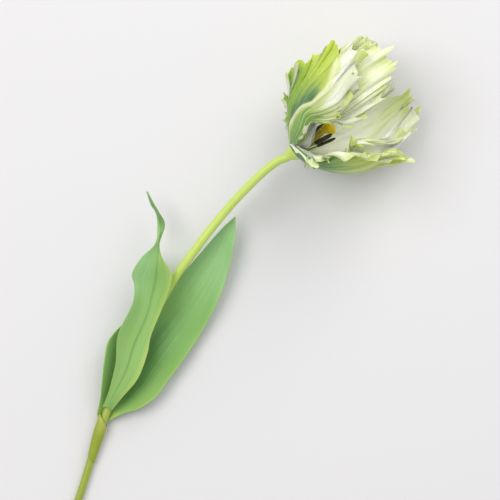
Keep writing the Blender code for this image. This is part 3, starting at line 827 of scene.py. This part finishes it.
class TulipColours(bpy.types.PropertyGroup):
    """Colours of the plant."""

    petal_white: colour("Petal white", "Pale ground of the tepals", 0.95, 0.98, 0.82)
    petal_lime: colour("Petal lime", "Yellow-green of the lobes and fringe", 0.52, 0.64, 0.08)
    petal_green: colour("Petal green", "Green of the tepals' bases", 0.22, 0.42, 0.08)
    # Dark blue-green: the outer tepals' own colour at their bases, and partly painted shade in the valley
    # beside the upper outer tepal's rib.
    petal_deep: colour("Petal blue-green", "Blue-green of the tepals' valleys", 0.09, 0.22, 0.09)
    petal_cream: colour("Petal cream", "Cream of the ribs", 0.82, 0.86, 0.5)
    leaf_green: colour("Leaf green", "Green of the leaves", 0.225, 0.475, 0.12)
    # Dark green of the leaves: painted shade along the broad leaf's folded middle and along the twisted
    # leaf's crease and left side, and darker green towards the twisted leaf's tip.
    leaf_dark_and_shade: colour("Leaf dark green", "Darker green inside the leaves", 0.06, 0.2, 0.055)
    leaf_light: colour("Leaf light green", "Yellow-green of the leaves' edges", 0.4, 0.58, 0.13)
    # Paler blue-green towards the broad leaf's tip and over the twisted leaf's upper left side: partly the
    # leaves' waxy bloom, partly a painted sheen of reflected light.
    leaf_bloom_and_sheen: colour("Leaf blue-green", "Bluish bloom near the tips", 0.33, 0.6, 0.26)
    stem_low: colour("Stem, low", "Olive green near the cut end", 0.3, 0.38, 0.03)
    stem_high: colour("Stem, high", "Lime green under the bloom", 0.6, 0.76, 0.16)
    sheath: colour("Sheath", "Olive of the sheath", 0.3, 0.38, 0.02)
    sheath_light: colour("Sheath, light", "Lighter olive at its mouth", 0.42, 0.46, 0.08)
    anther: colour("Anther", "Near black of the anthers", 0.012, 0.01, 0.014)
    filament: colour("Filament", "Olive of the filaments", 0.3, 0.32, 0.06)
    pistil: colour("Pistil", "Olive green of the ovary", 0.42, 0.36, 0.04)
    stigma: colour("Stigma", "Yellow of the stigma", 1.0, 0.74, 0.02)
    pollen: colour("Pollen", "Dark pollen", 0.018, 0.014, 0.016)


class TulipStage(bpy.types.PropertyGroup):
    """Floor, light and camera."""

    floor_colour: colour("Floor colour", "Colour of the surface the flower lies on", 0.8, 0.79, 0.8)
    key_power: number("Key light", "Power of the large soft light", 47.0, unit="POWER")
    fill_power: number("Fill light", "Power of the weaker light, which shines into the bloom", 24.0,
                       unit="POWER")
    sky_strength: number("Sky", "Strength of the even light from all round", 0.53)
    camera_height: length("Camera height", "How far above the surface the camera hangs", 2.0)
    frame_width: length("Frame width", "How wide a strip of the surface the picture takes in", 0.39)
    camera_turn: number("Camera turn", "How far the picture is turned round the view's axis",
                        math.radians(35), subtype="ANGLE")


class TULIP_OT_stem(bpy.types.Operator):
    """Makes the stem with its receptacle"""

    bl_idname = "tulip.add_stem"
    bl_label = "Add the stem"

    def execute(self, context):
        sizes, colours = context.scene.tulip_sizes, context.scene.tulip_colours
        line, distances = stem_line()
        axis = np.array(bloom_axes()[2])
        kept = line[distances < distances[-1] - STEM_FLARE - FLARE_JOIN]
        flare = np.array(BLOOM_BASE) - axis * np.linspace(STEM_FLARE, 0, FLARE_POINTS)[:, None]
        points = (np.vstack((kept, flare)) - ORIGIN) * MM
        curve = bpy.data.curves.new("stem_route", "CURVE")
        curve.dimensions = "3D"
        spline = curve.splines.new("POLY")
        spline.points.add(len(points) - 1)
        spline.points.foreach_set("co", np.column_stack((points, np.ones(len(points)))).ravel())
        route = add_object("stem_route", curve)
        material = shaded_material("stem skin", colours.stem_low, colours.stem_high, 0.36, 0.25, 0.15)
        mesh = modifier_mesh(route, route_tree(), "stem_skin", {
            "Low Radius": sizes.stem_radius_low, "High Radius": sizes.stem_radius_high,
            "Head Radius": sizes.receptacle_radius, "Flare Length": STEM_FLARE * MM,
            "Spacing": STEM_SPACING * MM, "Sides": STEM_SIDES, "Material": material,
        })
        bpy.data.objects.remove(route, do_unlink=True)
        along = np.empty(len(mesh.vertices))
        mesh.attributes["along"].data.foreach_get("value", along)
        mark(mesh, "tone", smooth(0.15, 0.75, along))
        finish_piece(add_object("stem_skin", mesh), material, "stem", "stem")
        return {"FINISHED"}


class TULIP_OT_sheath(bpy.types.Operator):
    """Makes the sheath that wraps the stem below the leaves"""

    bl_idname = "tulip.add_sheath"
    bl_label = "Add the sheath"

    def execute(self, context):
        colours = context.scene.tulip_colours
        line, distances = stem_line()
        rows, columns = np.linspace(0, 1, SHEATH_ROWS), np.linspace(0, 1, SHEATH_COLUMNS)
        share, around = np.meshgrid(rows, columns, indexing="ij")
        angle = -(around * 2 * np.pi * SHEATH_WRAP) + SHEATH_SEAM
        slant = SHEATH_SLANT * smooth(0.3, 1.0, share) + SHEATH_LOW_SLANT * smooth(0.6, 0.0, share)
        distance = SHEATH_START + (SHEATH_END - SHEATH_START) * share - np.cos(angle) * slant
        centre, ahead = (
            np.stack([np.interp(distance + step, distances, line[:, n]) for n in range(3)], axis=-1)
            for step in (0, 1)
        )
        ahead = ahead - centre
        ahead /= np.linalg.norm(ahead, axis=-1, keepdims=True)
        side = np.cross(ahead, (0.0, 0.0, 1.0))
        side /= np.linalg.norm(side, axis=-1, keepdims=True)
        upward = np.cross(side, ahead)
        radius = SHEATH_RADIUS + SHEATH_FLARE * smooth(0.0, 0.8, share)
        radius = radius + SHEATH_STEP * around * (0.3 + 0.7 * share)
        outward = side * np.cos(angle)[..., None] + upward * np.sin(angle)[..., None]
        middle = centre + radius[..., None] * outward
        rim = smooth(0.0, 0.12, share) * smooth(1.0, 0.93, share)
        rim = rim * smooth(0.0, 0.05, around) * smooth(1.0, 0.95, around)
        tone = smooth(0.55, 1.0, share)
        thickness = SHEATH_RIM + SHEATH_BODY * rim
        piece = sheet_piece("sheath_wrap", middle, thickness, 0.0, (around, share), {"tone": (tone, tone)})
        material = shaded_material("sheath skin", colours.sheath, colours.sheath_light, 0.38, 0.2, 0.08)
        finish_piece(piece, material, "sheath", "sheath")
        return {"FINISHED"}


def leaf_masks(leaf, across, along):
    """Where a leaf is light, dark green with painted shade, bluish with its bloom and a painted sheen, and
    pale-edged.
    """
    if leaf is LEAF_TWISTED:
        rib = bump(across, 0.02, 0.08) * smooth(0.0, 0.1, along)
        shade = smooth(-0.1, -0.8, across) * bump(along, 0.36, 0.2)
        return {
            "lime": 0.9 * smooth(0.55, 1.0, across) * smooth(0.9, 0.2, along) + 0.25,
            # dark green: painted shade along the crease and on the shaded left side, and darker towards the
            # tip
            "green": 0.5 * rib + 0.55 * smooth(0.62, 0.8, along) + 0.35 * shade,
            # blue-green over the left side of the upper part
            "deep": 0.75 * smooth(0.2, -0.8, across) * smooth(0.25, 0.5, along),
            "cream": 0.5 * smooth(0.93, 1.0, np.abs(across)),
        }
    side, foot = smooth(0.4, 1.0, across), smooth(0.1, 0.02, along)
    return {
        "lime": 0.6 * side * smooth(0.6, 0.1, along) + 0.9 * foot,
        # dark green along the middle, where the leaf folds round the stem: painted shade of the fold
        "green": 0.9 * bump(across, 0.05, 0.55) * smooth(0.07, 0.22, along) * smooth(0.68, 0.36, along),
        # paler blue-green towards the tip: the leaf's bloom with a painted sheen of reflected light
        "deep": 0.9 * smooth(0.55, 0.8, along),
        "cream": 0.6 * smooth(0.95, 1.0, np.abs(across)),
    }


def leaf_piece(leaf, sizes):
    rows, columns = np.linspace(0, 1, sizes.leaf_rows + 1), np.linspace(-1, 1, sizes.leaf_columns + 1)
    along, across = np.meshgrid(rows, columns, indexing="ij")
    left, centre, right = (route_points(rail, along) for rail in (leaf.left, leaf.middle, leaf.right))
    bow = centre - (left + right) / 2
    place = (left + right) / 2 + (right - left) / 2 * across[..., None] + bow * (1 - across**2)[..., None]
    width = np.linalg.norm(right - left, axis=-1)
    body = smooth(0.0, 0.08, along) * smooth(1.0, 0.9, along) * np.minimum(width / LEAF_FULL_WIDTH, 1)
    crease = -LEAF_CREASE * bump(across, 0.0, 0.07) * body
    ribs = LEAF_RIB_HEIGHT * np.cos(np.pi * LEAF_RIBS * across) * body
    wave = LEAF_WAVE_HEIGHT * np.sin(2 * np.pi * LEAF_WAVES * along + 2 * across) * np.abs(across) ** 3 * body
    place[..., 2] += crease + ribs + wave
    thickness = sizes.leaf_thickness / MM * (1 - 0.6 * smooth(0.8, 1.0, np.abs(across)))
    masks = {key: (value, value) for key, value in leaf_masks(leaf, across, along).items()}
    return sheet_piece(f"{leaf.name}_blade", place, thickness, 0.0, ((across + 1) / 2, along), masks)


class TULIP_OT_leaves(bpy.types.Operator):
    """Makes the twisted leaf and the broad leaf"""

    bl_idname = "tulip.add_leaves"
    bl_label = "Add the leaves"

    def execute(self, context):
        c = context.scene.tulip_colours
        # the dark green carries painted shade of the folds, and the blue-green partly a painted sheen
        palette = (c.leaf_green, c.leaf_light, c.leaf_dark_and_shade, c.leaf_bloom_and_sheen, c.leaf_light)
        for leaf, seed in ((LEAF_TWISTED, 1.0), (LEAF_BROAD, 6.0)):
            material = leaf_material(leaf.name.replace("_", " "), palette, seed)
            finish_piece(leaf_piece(leaf, context.scene.tulip_sizes), material, "leaf", leaf.name)
        return {"FINISHED"}


def tepal_masks(tepal, up, across, along):
    """Where a tepal is lime, green, blue-green and cream, on its outer and its inner face; the blue-green in
    the upper outer tepal's valley is partly painted shade.
    """
    margin = smooth(0.84, 0.99, up)
    patches = smooth(0.4, 0.9, up) * smooth(0.0, 1.0, np.sin(8 * across + 2 * tepal.phase))
    inner = {
        "lime": 0.06 + 0.4 * patches + 0.6 * margin * (0.65 + 0.35 * np.sin(9 * across)),
        "green": 0.03 + 0.35 * smooth(0.3, 0.05, along),
        "deep": 0 * along,
        "cream": 0.2 * bump(across, 0.0, 0.2) * smooth(0.9, 0.3, along),
    }
    if tepal.name == "outer_tepal_upper":
        off = across - ridge_path(along)
        left_side = smooth(0.02, 0.1, off)
        right_side = smooth(-0.03, -0.12, off)
        pale = smooth(-0.02, -0.12, off) * smooth(0.42, 0.62, along) * smooth(-0.8, -0.45, across)
        pale = pale * (0.78 + 0.22 * np.sin(45 * across))
        # Blue-green in the valley beside the rib: partly the tepal's green, partly painted shade of the
        # valley.
        valley = left_side * smooth(0.6, 0.15, off) * smooth(0.62, 0.45, along) * smooth(0.04, 0.15, along)
        left_green = 0.7 * left_side * smooth(0.75, 0.35, along)
        outer = {
            "lime": (1 - pale) * (0.75 + 0.25 * left_side),
            "green": 0.85 * right_side * smooth(0.6, 0.25, along) + left_green,
            "deep": valley + 0.4 * right_side * smooth(0.25, 0.08, along),
            "cream": bump(off, 0.0, 0.045) * smooth(0.1, 0.25, along) * smooth(0.95, 0.7, along),
        }
    elif tepal.name.startswith("outer"):
        outer = {
            "lime": 0.95 - 0.25 * margin,
            "green": smooth(0.7, 0.28, along),
            "deep": 0.7 * smooth(0.55, 0.15, along) * (0.5 + 0.5 * smooth(0.9, 0.3, np.abs(across))),
            "cream": 0.6 * bump(across, 0.05, 0.04) * smooth(0.15, 0.4, along) * smooth(0.95, 0.7, along),
        }
    else:
        outer = {
            "lime": 0.08 + 0.6 * bump(across, 0.0, 0.3) * smooth(0.95, 0.4, along) + 0.5 * margin,
            "green": 0.5 * bump(across, 0.0, 0.18) * smooth(0.75, 0.3, along),
            "deep": 0 * along,
            "cream": 0.2 * smooth(0.2, 0.9, along),
        }
    return {key: [np.clip(face[key], 0, 1) for face in (inner, outer)] for key in inner}


def tepal_piece(tepal, sizes):
    places, margin = margin_line(tepal)
    evenly = np.interp(np.linspace(0, margin[-1], sizes.tepal_columns + 1), margin, places)
    rows = 1 - (1 - np.linspace(0, 1, sizes.tepal_rows + 1)) ** 1.2
    up, across = np.meshgrid(rows, evenly, indexing="ij")
    place, along = tepal_points(tepal, up, across, sizes)
    masks = tepal_masks(tepal, up, across, along)
    rim = smooth(1.0, 0.93, up) * smooth(1.0, 0.97, np.abs(across))
    thickness = sizes.tepal_thickness / MM * (0.45 + 0.55 * rim)
    return sheet_piece(f"{tepal.name}_petal", place, thickness, tepal.rest, ((across + 1) / 2, along), masks)


def add_tepals(context, whorl, seed):
    c = context.scene.tulip_colours
    palette = (c.petal_white, c.petal_lime, c.petal_green, c.petal_deep, c.petal_cream)
    material = petal_material(f"{whorl} tepal", palette, seed)
    for tepal in TEPALS:
        if tepal.name.startswith(whorl):
            piece = tepal_piece(tepal, context.scene.tulip_sizes)
            finish_piece(piece, material, f"{whorl}_tepal", tepal.name)


class TULIP_OT_outer_tepals(bpy.types.Operator):
    """Makes the three outer tepals"""

    bl_idname = "tulip.add_outer_tepals"
    bl_label = "Add the outer tepals"

    def execute(self, context):
        add_tepals(context, "outer", 3.0)
        return {"FINISHED"}


class TULIP_OT_inner_tepals(bpy.types.Operator):
    """Makes the three inner tepals"""

    bl_idname = "tulip.add_inner_tepals"
    bl_label = "Add the inner tepals"

    def execute(self, context):
        add_tepals(context, "inner", 8.0)
        return {"FINISHED"}


class TULIP_OT_stamens(bpy.types.Operator):
    """Makes the six stamens and the pollen on them"""

    bl_idname = "tulip.add_stamens"
    bl_label = "Add the stamens"

    def execute(self, context):
        colours = context.scene.tulip_colours
        heights = np.linspace(0, STAMEN_HEIGHTS[-1], STAMEN_RINGS)
        profile = [(np.interp(h, STAMEN_HEIGHTS, STAMEN_RADII), h) for h in heights]

        def outline(angles, radius, height):
            anther = smooth(18.0, 19.5, height) * smooth(32.5, 30.5, height)
            return radius * (1 - 0.22 * anther * np.abs(np.cos(2 * angles)) ** 6), 0 * angles

        def masks(heights):
            anther = smooth(17.2, 18.2, heights)
            return {"tone": 1 - anther, "grain": anther}

        one = turned_piece("stamen", profile, STAMEN_SIDES, outline, masks)
        material = shaded_material("stamen", colours.anther, colours.filament, 0.6, 0.2, 0.0)
        matrix = bloom_matrix()
        piece = add_object("stamens", modifier_mesh(one, ring_tree(), "stamens", {
            "Count": STAMEN_COUNT, "Ring Radius": STAMEN_RING * MM, "Lean": math.radians(STAMEN_TILT),
            "Turn": math.radians(STAMEN_TURN), "Place": matrix.to_translation(),
            "Direction": Vector(matrix.to_euler()), "Material": material,
        }))
        bpy.data.objects.remove(one, do_unlink=True)
        grains = add_grains(piece, "pollen", POLLEN, colours.pollen)
        finish_piece(piece, None, "stamen", *(f"stamen_{n + 1}" for n in range(STAMEN_COUNT)))
        finish_piece(grains, None, "stamen")
        return {"FINISHED"}


class TULIP_OT_pistil(bpy.types.Operator):
    """Makes the pistil: an angular ovary with a frilled three-lobed stigma"""

    bl_idname = "tulip.add_pistil"
    bl_label = "Add the pistil"

    def execute(self, context):
        colours = context.scene.tulip_colours
        heights = np.concatenate((np.linspace(0, 27, 40), np.linspace(27.3, PISTIL_HEIGHTS[-1], 50)))
        profile = [(np.interp(h, PISTIL_HEIGHTS, PISTIL_RADII), h) for h in heights]

        def outline(angles, radius, height):
            frill = smooth(28.0, 31.0, height)
            lobes = 1 + (0.07 + 0.22 * frill) * np.cos(3 * angles)
            ruffle = 1 + 0.07 * frill * np.sin(21 * angles + height)
            groove = 1 - 0.2 * frill * np.exp(-((np.cos(1.5 * angles) / 0.12) ** 2))
            return radius * lobes * ruffle * groove, 0.35 * frill * np.sin(12 * angles)

        def masks(heights):
            return {"tone": smooth(24.0, 29.0, heights), "grain": smooth(29.0, 30.5, heights)}

        piece = turned_piece("pistil_body", profile, PISTIL_SIDES, outline, masks)
        piece.data.transform(bloom_matrix())
        material = shaded_material("pistil", colours.pistil, colours.stigma, 0.5, 0.2, 0.15)
        grains = add_grains(piece, "stigma_hairs", STIGMA_HAIRS, colours.stigma)
        finish_piece(piece, material, "pistil", "pistil")
        finish_piece(grains, None, "pistil")
        return {"FINISHED"}


class TULIP_OT_stage(bpy.types.Operator):
    """Makes the floor, the soft light and the camera"""

    bl_idname = "tulip.add_stage"
    bl_label = "Add the stage"

    def execute(self, context):
        scene, stage = context.scene, context.scene.tulip_stage
        turn = Matrix.Rotation(stage.camera_turn, 3, "Z")
        centre = Vector(-ORIGIN) * MM
        bpy.ops.mesh.primitive_plane_add(size=FLOOR_SIZE, location=(0, 0, -FLOOR_DROP))
        floor = context.object
        floor.name = "floor"
        material, tree, shader = new_material("floor", 0.75)
        dimmer = [c * 0.985 for c in stage.floor_colour[:3]] + [1.0]
        mottled = mix_colour(tree, skin_marks(tree, 3.0, 400.0)["Mottle"], stage.floor_colour, dimmer)
        tree.links.new(mottled, shader["Base Color"])
        floor.data.materials.append(material)
        for name, power, size, place in (
            ("key", stage.key_power, KEY_SIZE, KEY_PLACE), ("fill", stage.fill_power, FILL_SIZE, FILL_PLACE),
        ):
            lamp = bpy.data.lights.new(name, "AREA")
            lamp.energy = power
            lamp.shape = "DISK"
            lamp.size = size
            lamp.color = LAMP_COLOUR
            light = add_object(name, lamp)
            light.location = centre + turn @ Vector(place)
            light.rotation_euler = (centre - light.location).to_track_quat("-Z", "Y").to_euler()
        scene.world = bpy.data.worlds.new("soft sky")
        scene.world.use_nodes = True
        sky = scene.world.node_tree.nodes["Background"].inputs
        sky["Color"].default_value = SKY_COLOUR
        sky["Strength"].default_value = stage.sky_strength
        lens = bpy.data.cameras.new("camera")
        lens.sensor_width = SENSOR
        lens.lens = SENSOR * stage.camera_height / stage.frame_width
        camera = add_object("camera", lens)
        camera.location = centre + Vector((0, 0, stage.camera_height))
        camera.rotation_euler = (0, 0, stage.camera_turn)
        scene.camera = camera
        scene.view_settings.view_transform = "Standard"
        return {"FINISHED"}


OPERATORS = (
    TULIP_OT_stem, TULIP_OT_sheath, TULIP_OT_leaves, TULIP_OT_outer_tepals, TULIP_OT_inner_tepals,
    TULIP_OT_stamens, TULIP_OT_pistil, TULIP_OT_stage,
)


class TULIP_PT_panel(bpy.types.Panel):
    """Lists the tulip's sizes, colours and pieces."""

    bl_idname = "TULIP_PT_panel"
    bl_label = "Parrot tulip"
    bl_space_type = "VIEW_3D"
    bl_region_type = "UI"
    bl_category = "Tulip"

    def draw(self, context):
        for group in (context.scene.tulip_sizes, context.scene.tulip_colours, context.scene.tulip_stage):
            box = self.layout.box()
            for key in group.bl_rna.properties.keys():
                if key not in ("rna_type", "name"):
                    box.prop(group, key)
        for operator in OPERATORS:
            self.layout.operator(operator.bl_idname)


GROUPS = {"tulip_sizes": TulipSizes, "tulip_colours": TulipColours, "tulip_stage": TulipStage}
CLASSES = (*GROUPS.values(), *OPERATORS, TULIP_PT_panel)


def register():
    for item in CLASSES:
        bpy.utils.register_class(item)
    for key, group in GROUPS.items():
        setattr(bpy.types.Scene, key, bpy.props.PointerProperty(type=group))


def unregister():
    for key in GROUPS:
        delattr(bpy.types.Scene, key)
    for item in reversed(CLASSES):
        bpy.utils.unregister_class(item)


def main():
    register()
    for operator in OPERATORS:
        space, name = operator.bl_idname.split(".")
        getattr(getattr(bpy.ops, space), name)()
    bpy.context.view_layer.update()


if __name__ == "__main__":
    main()
